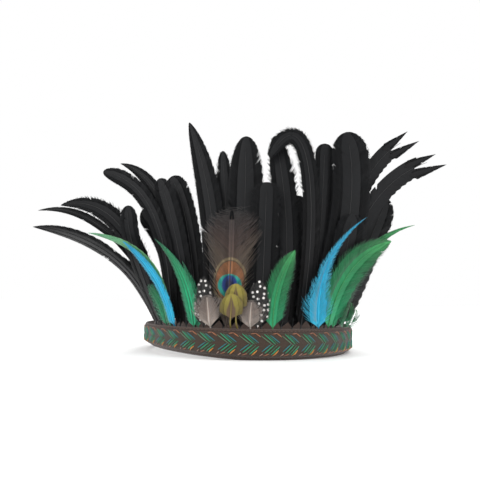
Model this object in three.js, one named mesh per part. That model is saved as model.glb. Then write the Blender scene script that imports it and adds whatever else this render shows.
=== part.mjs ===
// A feathered headdress: a fan of black plumes and coloured accent feathers, whose quills stand in a
// pocket between the two cloth tapes of a headband. A woven braid goes round the outer tape.
//
// The headdress stands on the lower rim of its band. The wearer's front is -Y and up is +Z.
// A place along the band is an angle: 0 is the front centre, and 90 is the side at +X.
// A feather is drawn as seen from the front, by x and by its height over the band's top edge, and is
// then laid on the fan: one curved surface that starts as the pocket's middle and flares upwards.
// Feathers lie on the fan in layers, and those in one layer stand clear of each other side by side.

import * as THREE from "three";

// ---------------------------------------------------------------- driving dimensions, millimetres

const HEAD = { halfWidth: 77.5, halfDepth: 97.5 }; // the inside of the band
const BAND = { height: 21.5, wall: 1.3, segments: 56 };
const POCKET = { width: 5, closed: 0.35, frontAngle: 78, backAngle: 135, closedShare: 0.22 };
const TRIM = { wall: 0.9, gap: 0.4, margin: 2.3 };
const LIFT = { height: 5, angle: -60, reach: 90 }; // the lower rim rises a little on the left
const QUILL = { halfWidth: 1.1, thickness: 1.1, edge: 0.8, rowGap: 1.4, heights: [-10.5, -5, 0.2, 4.2] };
const VANE = { start: 6, thickness: 1.0, edge: 0.5, tipHalfWidth: 0.35 };
const FORK = { at: 0.84, stations: 3, taper: 0.8 };
const LAYERS = { middle: 5, perRow: 3, rows: 3, apartAt: 5, gapLow: 1.6, gapHigh: 3.0, highAt: 100 };
const BODY = { stations: 8, crowding: 1.5 }; // sections crowd towards the foot, where the fan bends most
const TIP_STATIONS = 5;

// The fan's outline at rising heights: how far it reaches to the left, right and front of the head.
const POCKET_MIDDLE = BAND.wall + POCKET.width / 2;
const FOOT_WIDTH = HEAD.halfWidth + POCKET_MIDDLE;
const FOOT_DEPTH = HEAD.halfDepth + POCKET_MIDDLE;
const FAN_ROWS = [
  { height: 0, left: FOOT_WIDTH, right: FOOT_WIDTH, front: FOOT_DEPTH },
  { height: 20, left: 97, right: 102, front: 99 },
  { height: 40, left: 116, right: 122, front: 96.5 },
  { height: 60, left: 151, right: 141, front: 93.5 },
  { height: 75, left: 192, right: 156, front: 91 },
  { height: 95, left: 206, right: 173, front: 87.5 },
  { height: 130, left: 212, right: 192, front: 80.5 },
  { height: 160, left: 214, right: 200, front: 74 },
];

// How a vane's half-width runs from its foot (0) to its tip (1), as shares of the full half-width:
// it opens from `foot` to full width at `rise`, holds it to `fall`, and closes by the last two powers.
const TIPS = {
  round: { foot: 0.6, rise: 0.4, fall: 0.84, power: 2, round: 2 },
  blunt: { foot: 0.6, rise: 0.4, fall: 0.93, power: 2.5, round: 2 },
  blade: { foot: 0.6, rise: 0.35, fall: 0.52, power: 2, round: 1.2 },
  sickle: { foot: 0.5, rise: 0.3, fall: 0.35, power: 1.3, round: 1 },
  hackle: { foot: 0.6, rise: 0.18, fall: 0.3, power: 1.2, round: 1 },
  wisp: { foot: 0.5, rise: 0.4, fall: 0.44, power: 0.62, round: 1 },
  puff: { foot: 0.5, rise: 0.35, fall: 0.45, power: 2, round: 1.8 },
  fan: { foot: 0.2, rise: 0.85, fall: 0.8, power: 2.4, round: 2 },
};

// One row a feather: the quill's angle on the band, the bend and the tip of the centre line, the
// vane's full width, the shape of its tip, and its layer (0 is at the back). A crest is a second bend.
const BLACK_PLUMES = [
  { angle: -55, bend: [-77, 36], tip: [-103, 53], width: 13, shape: "blade", layer: 2 },
  { angle: -51, bend: [-88, 78], tip: [-178, 77], width: 14, shape: "blade", layer: 4 },
  { angle: -48.5, bend: [-77, 99], tip: [-146, 93], width: 15.5, shape: "blade", layer: 3 },
  { angle: -47, bend: [-80, 93], tip: [-170, 90], width: 5, shape: "sickle", layer: 1 },
  { angle: -44, bend: [-80, 61], tip: [-82, 86], width: 13, shape: "round", layer: 0 },
  { angle: -35, bend: [-46, 101], tip: [-106, 117], width: 14.5, shape: "round", layer: 5 },
  { angle: -32, bend: [-44, 35], tip: [-49, 68], width: 15, shape: "round", layer: 0 },
  { angle: -29, bend: [-44, 106], tip: [-92, 123], width: 13, shape: "blade", layer: 2 },
  { angle: -24.5, bend: [-38, 65], tip: [-58, 109], width: 15, shape: "round", layer: 4 },
  { angle: -19, bend: [-25, 58], tip: [-48, 112], width: 18, shape: "blunt", layer: 1 },
  { angle: -9.5, bend: [-14, 83], tip: [-38, 153], width: 19, shape: "blade", layer: 3 },
  { angle: -4, bend: [-5, 50], tip: [-9, 101], width: 19, shape: "round", layer: 0 },
  { angle: 0, bend: [3, 64], tip: [-11, 128], width: 13, shape: "blade", layer: 1 },
  { angle: 4.5, bend: [7, 70], tip: [5, 141], width: 23, shape: "round", layer: 2 },
  { angle: 15, bend: [22, 55], tip: [22, 107], width: 16, shape: "blunt", layer: 4 },
  { angle: 25, bend: [42, 81], tip: [19, 138], width: 15, shape: "blade", layer: 1 },
  { angle: 31, bend: [45, 50], tip: [43, 99], width: 18, shape: "round", layer: 0 },
  { angle: 36, bend: [61, 110], crest: [50, 170], tip: [23, 127], width: 13, shape: "round", layer: 3 },
  { angle: 42.5, bend: [63, 70], tip: [64, 136], width: 13.5, shape: "blunt", layer: 2 },
  { angle: 45.5, bend: [68, 60], tip: [73, 118], width: 16, shape: "round", layer: 0 },
  { angle: 48, bend: [82, 50], crest: [106, 135], tip: [73, 141], width: 23, shape: "round", layer: 4 },
  { angle: 52, bend: [77, 104], tip: [127, 144], width: 13.5, shape: "round", layer: 1, fork: [[124, 147], [131, 142]] },
  { angle: 55.5, bend: [78, 40], tip: [85, 84], width: 19, shape: "round", layer: 5 },
  { angle: 58.5, bend: [84, 108], tip: [148, 127], width: 16, shape: "round", layer: 3, fork: [[145, 132], [152, 124]] },
  { angle: 63, bend: [88, 43], tip: [112, 99], width: 25, shape: "round", layer: 0 },
];

const ACCENTS = [
  { name: "peacock_eye_feather", angle: -2.2, bend: [0, 43], tip: [-2, 86], width: 40, shape: "fan", layer: 6, finish: "peacock" },
  { name: "gold_feather_upper", angle: 3.6, bend: [4, 15], tip: [4, 31], width: 14.5, shape: "puff", layer: 9, finish: "gold" },
  { name: "gold_feather_lower", angle: 0.3, bend: [2, 12], tip: [1, 25], width: 15, shape: "puff", layer: 10, finish: "gold" },
  { name: "spotted_feather_left", angle: -13.6, bend: [-20, 18], tip: [-20, 36], width: 14, shape: "puff", layer: 7, finish: "spotted" },
  { name: "spotted_feather_right", angle: 13, bend: [19, 16], tip: [20, 34], width: 15, shape: "puff", layer: 7, finish: "spotted" },
  { name: "taupe_down_left", angle: -10, bend: [-14, 12], tip: [-15, 24], width: 19, shape: "puff", layer: 8, finish: "taupe" },
  { name: "taupe_down_right", angle: 10, bend: [14, 10], tip: [15, 21], width: 16, shape: "puff", layer: 8, finish: "taupe" },
  { name: "green_hackle_1", angle: -35.4, bend: [-48, 54], tip: [-116, 69], width: 5, shape: "sickle", layer: 8, finish: "green" },
  { name: "green_hackle_2", angle: -19.4, bend: [-32, 42], tip: [-60, 64], width: 11, shape: "hackle", layer: 6, finish: "green" },
  { name: "green_hackle_3", angle: -17, bend: [-27, 28], tip: [-38, 47], width: 9, shape: "hackle", layer: 5, finish: "green" },
  { name: "green_hackle_4", angle: 21, bend: [29, 32], tip: [44, 56], width: 17, shape: "blade", layer: 6, finish: "green" },
  { name: "green_hackle_5", angle: 55.5, bend: [76, 51], tip: [113, 65], width: 23, shape: "blade", layer: 7, finish: "green" },
  { name: "green_hackle_6", angle: 60, bend: [84, 66], tip: [128, 77], width: 8, shape: "sickle", layer: 6, finish: "green" },
  { name: "green_down_left", angle: -38.5, bend: [-52, 18], tip: [-66, 29], width: 12, shape: "puff", layer: 7, finish: "green" },
  { name: "blue_hackle_left", angle: -32, bend: [-50, 34], tip: [-84, 61], width: 7, shape: "sickle", layer: 9, finish: "blue" },
  { name: "blue_hackle_right", angle: 48, bend: [57, 54], tip: [95, 81], width: 16, shape: "wisp", layer: 8, finish: "blue" },
];

const FINISHES = {
  brownTape: { color: 0x453630, roughness: 0.9 },
  braid: { color: 0x2e6a4a, roughness: 0.75 },
  black: { color: 0x1b1c1e, roughness: 0.55 },
  peacock: { color: 0x5a4a3e, roughness: 0.6 },
  gold: { color: 0x86812f, roughness: 0.6 },
  spotted: { color: 0x151311, roughness: 0.7 },
  taupe: { color: 0x8c7d74, roughness: 0.9 },
  green: { color: 0x13805a, roughness: 0.7 },
  blue: { color: 0x12b5dc, roughness: 0.7 },
};

// ---------------------------------------------------------------- small helpers

const radians = THREE.MathUtils.degToRad;
const clamp = THREE.MathUtils.clamp;
const lerp = THREE.MathUtils.lerp;
const smoothstep = (share) => THREE.MathUtils.smoothstep(share, 0, 1);

// A closed body from numbered points and outward-facing quads, each cut in two triangles.
class ClosedBody {
  constructor() {
    this.points = [];
    this.triangles = [];
  }

  point(x, y, z) {
    this.points.push(x, y, z);
    return this.points.length / 3 - 1;
  }

  quad(a, b, c, d) {
    this.triangles.push(a, b, c, a, c, d);
  }

  mesh(name, finish) {
    const geometry = new THREE.BufferGeometry();
    geometry.setAttribute("position", new THREE.Float32BufferAttribute(this.points, 3));
    geometry.setIndex(this.triangles);
    geometry.computeVertexNormals();
    const { color, roughness } = FINISHES[finish];
    const material = new THREE.MeshStandardMaterial({ color, roughness, metalness: 0 });
    const mesh = new THREE.Mesh(geometry, material);
    mesh.name = name;
    return mesh;
  }
}

// ---------------------------------------------------------------- the band

// A point at an angle on the head's outline, moved outwards by `offset`.
function bandPoint(angle, offset) {
  const x = HEAD.halfWidth * Math.sin(angle);
  const y = -HEAD.halfDepth * Math.cos(angle);
  const normal = new THREE.Vector2(x / HEAD.halfWidth ** 2, y / HEAD.halfDepth ** 2).normalize();
  return { x: x + offset * normal.x, y: y + offset * normal.y };
}

function rimLift(angle) {
  const turn = radians(LIFT.angle);
  const away = Math.abs(Math.atan2(Math.sin(angle - turn), Math.cos(angle - turn)));
  const reach = radians(LIFT.reach);
  return away < reach ? (LIFT.height * (1 + Math.cos((Math.PI * away) / reach))) / 2 : 0;
}

// The pocket is open round the front, where the quills stand, and closes at the back and the foot.
function pocketWidth(angle, share) {
  const turn = Math.abs(Math.atan2(Math.sin(angle), Math.cos(angle)));
  const front = radians(POCKET.frontAngle);
  const back = radians(POCKET.backAngle);
  const open = 1 - smoothstep((turn - front) / (back - front));
  const raised = clamp(share / POCKET.closedShare, 0, 1);
  return lerp(POCKET.closed, POCKET.width, open * raised);
}

// A closed loop with a wall. `shares` are its levels between the band's lower rim (0) and its top
// edge (1), and `inner` gives the wall's inner face at an angle and a level.
function bandLoop(name, finish, shares, wall, inner) {
  const body = new ClosedBody();
  const columns = [];
  for (let i = 0; i < BAND.segments; i += 1) {
    const angle = (2 * Math.PI * i) / BAND.segments;
    const level = (share, offset) => {
      const { x, y } = bandPoint(angle, offset);
      return body.point(x, y, lerp(rimLift(angle), BAND.height, share));
    };
    columns.push({
      inner: shares.map((share) => level(share, inner(angle, share))),
      outer: shares.map((share) => level(share, inner(angle, share) + wall)),
    });
  }
  const top = shares.length - 1;
  columns.forEach((a, i) => {
    const b = columns[(i + 1) % columns.length];
    for (let k = 0; k < top; k += 1) {
      body.quad(a.outer[k], b.outer[k], b.outer[k + 1], a.outer[k + 1]);
      body.quad(b.inner[k], a.inner[k], a.inner[k + 1], b.inner[k + 1]);
    }
    body.quad(a.outer[top], b.outer[top], b.inner[top], a.inner[top]);
    body.quad(b.outer[0], a.outer[0], a.inner[0], b.inner[0]);
  });
  return body.mesh(name, finish);
}

function faceOffset(angle, share) {
  return BAND.wall + pocketWidth(angle, share);
}

function headband() {
  const group = new THREE.Group();
  const margin = TRIM.margin / BAND.height;
  group.add(bandLoop("backing_band", "brownTape", [0, 1], BAND.wall, () => 0));
  group.add(bandLoop("face_band", "brownTape", [0, POCKET.closedShare, 1], BAND.wall, faceOffset));
  const onFace = (angle, share) => faceOffset(angle, share) + BAND.wall + TRIM.gap;
  const trimLevels = [margin, POCKET.closedShare, 1 - margin];
  group.add(bandLoop("woven_trim", "braid", trimLevels, TRIM.wall, onFace));
  return group;
}

// ---------------------------------------------------------------- the fan

// A column of FAN_ROWS at any height, on a smooth curve through the rows.
function fanReach(column, height) {
  const rows = FAN_ROWS;
  const last = rows.length - 1;
  const h = clamp(height, rows[0].height, rows[last].height);
  let k = 0;
  while (k < last - 1 && h > rows[k + 1].height) k += 1;
  const slope = (i) => {
    const a = rows[Math.max(i - 1, 0)];
    const b = rows[Math.min(i + 1, last)];
    return (b[column] - a[column]) / (b.height - a.height);
  };
  const span = rows[k + 1].height - rows[k].height;
  const t = (h - rows[k].height) / span;
  return (
    rows[k][column] * (1 + 2 * t) * (1 - t) ** 2 +
    slope(k) * span * t * (1 - t) ** 2 +
    rows[k + 1][column] * t * t * (3 - 2 * t) +
    slope(k + 1) * span * t * t * (t - 1)
  );
}

// How far the fan stands forward of the head's middle, as a negative y.
function fanDepth(x, height) {
  const side = fanReach(x < 0 ? "left" : "right", height);
  const room = Math.max(1 - (x / side) ** 2, 0.02);
  return -fanReach("front", height) * Math.sqrt(room);
}

function fanSlopes(x, height) {
  const step = 0.5;
  return {
    across: (fanDepth(x + step, height) - fanDepth(x - step, height)) / (2 * step),
    up: (fanDepth(x, height + step) - fanDepth(x, height - step)) / (2 * step),
  };
}

// A point of a feather in space: on the fan, and then out of it by `outward`.
function onFan(x, height, outward) {
  const { across, up } = fanSlopes(x, height);
  const y = fanDepth(x, height) - outward * Math.hypot(1, across, up);
  return [x, y, BAND.height + height];
}

// How far a layer lies in front of the fan. Down in the pocket the layers share three rows.
function layerOutward(layer, height) {
  const row = Math.min(Math.floor(layer / LAYERS.perRow), LAYERS.rows - 1);
  const inPocket = (row - (LAYERS.rows - 1) / 2) * QUILL.rowGap;
  const gap = lerp(LAYERS.gapLow, LAYERS.gapHigh, smoothstep(height / LAYERS.highAt));
  return lerp(inPocket, (layer - LAYERS.middle) * gap, smoothstep(height / LAYERS.apartAt));
}

// ---------------------------------------------------------------- feathers

function centreLine(feather) {
  const root = new THREE.Vector2(FOOT_WIDTH * Math.sin(radians(feather.angle)), 0);
  const bend = new THREE.Vector2(...feather.bend);
  const tip = new THREE.Vector2(...feather.tip);
  if (!feather.crest) return new THREE.QuadraticBezierCurve(root, bend, tip);
  return new THREE.CubicBezierCurve(root, bend, new THREE.Vector2(...feather.crest), tip);
}

function vaneHalfWidth(feather, share) {
  const { foot, rise, fall, power, round } = TIPS[feather.shape];
  const opened = share < rise ? lerp(foot, 1, Math.sin((Math.PI / 2) * (share / rise))) : 1;
  const closing = clamp((share - fall) / (1 - fall), 0, 1);
  const closed = Math.max(1 - closing ** power, 0) ** (1 / round);
  return Math.max((feather.width / 2) * opened * closed, VANE.tipHalfWidth);
}

// Where along the vane its sections lie: wider and wider apart up to the start of the tip, and then
// closer and closer.
// A forked vane stops where its two prongs start.
function vaneShares(feather) {
  const { fall } = TIPS[feather.shape];
  const bodyEnd = feather.fork ? FORK.at : fall;
  const shares = [];
  for (let i = 0; i < BODY.stations; i += 1) {
    shares.push(bodyEnd * (i / BODY.stations) ** BODY.crowding);
  }
  if (feather.fork) return [...shares, bodyEnd];
  for (let i = 0; i <= TIP_STATIONS; i += 1) {
    shares.push(lerp(fall, 1, Math.sin((Math.PI / 2) * (i / TIP_STATIONS))));
  }
  return shares;
}

// How far along a centre line it first reaches a height.
function shareAtHeight(line, height) {
  let share = 0;
  while (line.getPoint(share).y < height) share += 0.002;
  return share;
}

// Each section of a feather: its middle, its side direction, its half-width and its thicknesses.
function featherSections(feather) {
  const line = centreLine(feather);
  const root = line.getPoint(0);
  const half = QUILL.halfWidth / Math.hypot(1, fanSlopes(root.x, 0).across);
  const sections = [];
  for (const height of QUILL.heights) {
    const { x } = line.getPoint(shareAtHeight(line, height));
    const middle = new THREE.Vector2(x, height);
    const side = new THREE.Vector2(1, 0);
    sections.push({ middle, side, half, rib: QUILL.thickness, edge: QUILL.edge });
  }
  const start = shareAtHeight(line, VANE.start);
  for (const share of vaneShares(feather)) {
    const t = lerp(start, 1, share);
    const along = line.getTangent(t);
    const middle = line.getPoint(t);
    const side = new THREE.Vector2(along.y, -along.x);
    const vaneHalf = vaneHalfWidth(feather, share);
    sections.push({ middle, side, half: vaneHalf, rib: VANE.thickness, edge: VANE.edge });
  }
  return sections;
}

// The front and back points of one section's column, at `across` from its middle.
function columnPoints(body, feather, section, across, thickness) {
  const x = section.middle.x + section.side.x * across;
  const height = section.middle.y + section.side.y * across;
  const outward = layerOutward(feather.layer, height);
  return {
    front: body.point(...onFan(x, height, outward + thickness / 2)),
    back: body.point(...onFan(x, height, outward - thickness / 2)),
  };
}

// Walls between two sections that have the same number of columns, and across an open end.
function joinSections(body, low, high) {
  for (let k = 0; k + 1 < low.length; k += 1) {
    body.quad(low[k].front, low[k + 1].front, high[k + 1].front, high[k].front);
    body.quad(low[k + 1].back, low[k].back, high[k].back, high[k + 1].back);
  }
  const end = low.length - 1;
  body.quad(low[0].back, low[0].front, high[0].front, high[0].back);
  body.quad(low[end].front, low[end].back, high[end].back, high[end].front);
}

function closeEnd(body, section, atTip) {
  for (let k = 0; k + 1 < section.length; k += 1) {
    const [a, b] = atTip ? [section[k], section[k + 1]] : [section[k + 1], section[k]];
    body.quad(a.front, b.front, b.back, a.back);
  }
}

// The two prongs of a forked tip. Each grows from half of the last section and narrows to its point.
function addProngs(body, feather, last, lastColumns) {
  feather.fork.forEach((point, k) => {
    const tip = new THREE.Vector2(...point);
    const foot = last.middle.clone().addScaledVector(last.side, (k - 0.5) * last.half);
    let low = lastColumns.slice(k, k + 2);
    for (let i = 1; i <= FORK.stations; i += 1) {
      const share = i / FORK.stations;
      const half = Math.max((last.half / 2) * (1 - share) ** FORK.taper, VANE.tipHalfWidth);
      const section = { middle: foot.clone().lerp(tip, share), side: last.side };
      const high = [-half, half].map((across) => columnPoints(body, feather, section, across, last.edge));
      joinSections(body, low, high);
      low = high;
    }
    closeEnd(body, low, true);
  });
}

function featherMesh(name, finish, feather) {
  const body = new ClosedBody();
  const sections = featherSections(feather);
  const columns = sections.map((section) => [
    columnPoints(body, feather, section, -section.half, section.edge),
    columnPoints(body, feather, section, 0, section.rib),
    columnPoints(body, feather, section, section.half, section.edge),
  ]);
  const last = sections.length - 1;
  closeEnd(body, columns[0], false);
  for (let i = 0; i < last; i += 1) joinSections(body, columns[i], columns[i + 1]);
  if (feather.fork) addProngs(body, feather, sections[last], columns[last]);
  else closeEnd(body, columns[last], true);
  return body.mesh(name, finish);
}

function blackPlumes() {
  const group = new THREE.Group();
  BLACK_PLUMES.forEach((plume, i) => {
    group.add(featherMesh(`black_plume_${String(i + 1).padStart(2, "0")}`, "black", plume));
  });
  return group;
}

function accentFeathers() {
  const group = new THREE.Group();
  for (const accent of ACCENTS) group.add(featherMesh(accent.name, accent.finish, accent));
  return group;
}

// ---------------------------------------------------------------- the whole headdress

const headdress = new THREE.Group();
headdress.add(headband(), blackPlumes(), accentFeathers());

// The origin is the middle of the foot of the whole object's box.
const extent = new THREE.Box3().setFromObject(headdress);
const middle = extent.getCenter(new THREE.Vector3());
headdress.position.set(-middle.x, -middle.y, -extent.min.z);

const assembly = new THREE.Group();
assembly.add(headdress);

export default assembly;
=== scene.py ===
"""A feathered headdress: black plumes and dyed accent feathers in a cloth headband with a woven braid.

A feather is drawn as seen from the front, by x and by its height over the band's top edge, and is laid
on the fan: one curved surface that starts in the band's pocket and flares upwards. Lengths are in
millimetres from the band's middle and top edge until a point is placed, and then in metres.
"""

from __future__ import annotations

import logging
import math
from dataclasses import dataclass, field
from enum import Enum

import bpy
import numpy as np
from mathutils import Euler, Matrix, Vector


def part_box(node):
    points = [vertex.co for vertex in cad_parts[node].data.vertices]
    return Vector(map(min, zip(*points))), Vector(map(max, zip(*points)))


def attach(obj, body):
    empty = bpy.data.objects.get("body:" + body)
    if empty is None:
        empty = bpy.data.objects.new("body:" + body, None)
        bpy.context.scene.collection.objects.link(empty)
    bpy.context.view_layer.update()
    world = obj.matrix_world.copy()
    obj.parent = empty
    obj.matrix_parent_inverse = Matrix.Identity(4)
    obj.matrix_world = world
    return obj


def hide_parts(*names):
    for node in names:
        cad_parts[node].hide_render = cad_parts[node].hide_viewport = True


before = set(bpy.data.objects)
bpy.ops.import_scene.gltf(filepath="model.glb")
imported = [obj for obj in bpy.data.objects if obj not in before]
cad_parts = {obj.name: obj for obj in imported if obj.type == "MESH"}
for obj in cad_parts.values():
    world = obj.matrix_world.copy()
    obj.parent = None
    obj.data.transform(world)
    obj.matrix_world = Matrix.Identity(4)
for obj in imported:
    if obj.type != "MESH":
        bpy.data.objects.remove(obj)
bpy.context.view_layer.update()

MM = 0.001
BODY = "root"
Array = np.ndarray
Piece = bpy.types.Object
Socket = bpy.types.NodeSocket
Stops = tuple[tuple[float, str], ...]

log = logging.getLogger("headdress")


# ---------------------------------------------------------------- small helpers


def linear(code: str) -> tuple[float, float, float, float]:
    """Turns a screen colour into the linear colour that a shader takes.

    Args:
        code: The colour as "#rrggbb".

    Returns:
        Linear red, green, blue and an alpha of one.
    """
    parts = [int(code[i : i + 2], 16) / 255 for i in (1, 3, 5)]
    return (*[p / 12.92 if p <= 0.04045 else ((p + 0.055) / 1.055) ** 2.4 for p in parts], 1.0)


def smoothstep(share: Array) -> Array:
    """Eases a share from 0 to 1, and holds it outside of that."""
    s = np.clip(share, 0, 1)
    return s * s * (3 - 2 * s)


def blend(a: Array | float, b: Array | float, share: Array | float) -> Array:
    """Gives the value that lies a share of the way from a to b."""
    return a + (b - a) * share


def unit(vectors: Array) -> Array:
    """Scales vectors, which lie along the last axis, to a length of one."""
    return vectors / np.maximum(np.linalg.norm(vectors, axis=-1, keepdims=True), 1e-9)


def deselect() -> None:
    """Leaves nothing selected, so that an operator acts on its own piece alone."""
    for thing in bpy.context.selected_objects:
        thing.select_set(False)


def activate(piece: Piece) -> None:
    """Makes a piece the one that is selected and active."""
    deselect()
    piece.select_set(True)
    bpy.context.view_layer.objects.active = piece


def grid(name: str, columns: int, rows: int) -> tuple[Piece, Array, Array]:
    """Adds a flat grid that is about to be shaped.

    Args:
        name: The new piece's name.
        columns: Faces across it.
        rows: Faces along it.

    Returns:
        The piece, and for each of its vertices the place across (-1 to 1) and along (0 to 1).
    """
    deselect()
    bpy.ops.mesh.primitive_grid_add(x_subdivisions=columns, y_subdivisions=rows, size=2)
    piece = bpy.context.object
    piece.name = piece.data.name = name
    flat = np.zeros(len(piece.data.vertices) * 3)
    piece.data.vertices.foreach_get("co", flat)
    flat = flat.reshape(-1, 3)
    return piece, flat[:, 0], (flat[:, 1] + 1) / 2


def move_vertices(piece: Piece, points: Array) -> None:
    """Puts each vertex of a piece at its new place."""
    piece.data.vertices.foreach_set("co", np.asarray(points, float).ravel())
    piece.data.update()


def mark(piece: Piece, name: str, values: Array) -> None:
    """Stores three numbers at each vertex, for the finish to read.

    Args:
        piece: The piece to store them on.
        name: The attribute's name.
        values: One row of three numbers for each vertex.
    """
    layer = piece.data.attributes.new(name, "FLOAT_VECTOR", "POINT")
    layer.data.foreach_set("vector", np.asarray(values, np.float32).ravel())


def apply_modifier(piece: Piece, kind: str, **settings: object) -> None:
    """Adds a modifier to a piece and applies it.

    Args:
        piece: The piece to change.
        kind: The modifier's type.
        **settings: Its properties.
    """
    activate(piece)
    modifier = piece.modifiers.new(kind.title(), kind)
    for key, value in settings.items():
        setattr(modifier, key, value)
    bpy.ops.object.modifier_apply(modifier=modifier.name)


def smooth(piece: Piece, degrees: float) -> None:
    """Shades a piece smoothly, with edges left sharp where it turns by more than an angle."""
    activate(piece)
    bpy.ops.object.shade_smooth_by_angle(angle=math.radians(degrees))


def join(name: str, parts: list[Piece]) -> Piece:
    """Joins parts into one piece.

    Args:
        name: The joined piece's name.
        parts: The parts, of which the first gives the piece.

    Returns:
        The joined piece.
    """
    activate(parts[0])
    for part in parts[1:]:
        part.select_set(True)
    if len(parts) > 1:
        bpy.ops.object.join()
    parts[0].name = parts[0].data.name = name
    return parts[0]


class Strands:
    """Many thin closed strands, gathered as arrays and made one mesh."""

    def __init__(self, sides: int) -> None:
        """Starts with no strands, each of which will have this many sides."""
        self.sides = sides
        self.points: list[Array] = []
        self.faces: list[Array] = []
        self.caps: list[Array] = []
        self.marks: dict[str, list[Array]] = {}
        self.count = 0

    def add(
        self,
        paths: Array,
        sideways: Array,
        half_width: Array,
        half_height: Array,
        marks: dict[str, Array],
    ) -> None:
        """Adds strands that have equally many stations.

        Args:
            paths: Strands by stations by three: the middles, in metres.
            sideways: The direction of the strand's width at each station.
            half_width: Strands by stations: half the width, in metres.
            half_height: Half the height, in metres.
            marks: For each attribute, three numbers a station.
        """
        strands, stations, _ = paths.shape
        along = unit(np.gradient(paths, axis=1))
        across = unit(sideways - along * np.sum(sideways * along, axis=-1, keepdims=True))
        upward = np.cross(along, across)
        turns = np.arange(self.sides) * 2 * np.pi / self.sides + np.pi / 2
        ring = (
            across[:, :, None] * (half_width[..., None] * np.cos(turns))[..., None]
            + upward[:, :, None] * (half_height[..., None] * np.sin(turns))[..., None]
        )
        self.points.append((paths[:, :, None] + ring).reshape(-1, 3))
        index = np.arange(strands * stations * self.sides).reshape(strands, stations, self.sides)
        index += self.count
        onward = np.roll(index, -1, axis=2)
        low, high = slice(None, -1), slice(1, None)
        quads = np.stack([index[:, low], onward[:, low], onward[:, high], index[:, high]], -1)
        self.faces.append(quads.reshape(-1, 4))
        self.caps.append(index[:, 0, ::-1])
        self.caps.append(index[:, -1])
        self.count += index.size
        for name, values in marks.items():
            spread = np.repeat(values[:, :, None], self.sides, axis=2)
            self.marks.setdefault(name, []).append(spread.reshape(-1, 3))

    def piece(self, name: str) -> Piece:
        """Makes the mesh of all strands, smoothly shaded, and gives its object."""
        points = np.concatenate(self.points)
        faces = np.concatenate(self.faces).tolist() + np.concatenate(self.caps).tolist()
        mesh = bpy.data.meshes.new(name)
        mesh.from_pydata(points, [], faces)
        piece = bpy.data.objects.new(name, mesh)
        bpy.context.scene.collection.objects.link(piece)
        for key, values in self.marks.items():
            mark(piece, key, np.concatenate(values))
        mesh.shade_smooth()
        return piece


# ---------------------------------------------------------------- finishes


class Slot(Enum):
    """The record's material slots."""

    TAPE = "tape_brown"
    BRAID = "braid"
    BLACK = "feather_black"
    PEACOCK = "feather_peacock"
    GOLD = "feather_gold"
    SPOTTED = "feather_spotted"
    TAUPE = "down_taupe"
    GREEN = "feather_green"
    BLUE = "feather_blue"


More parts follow.
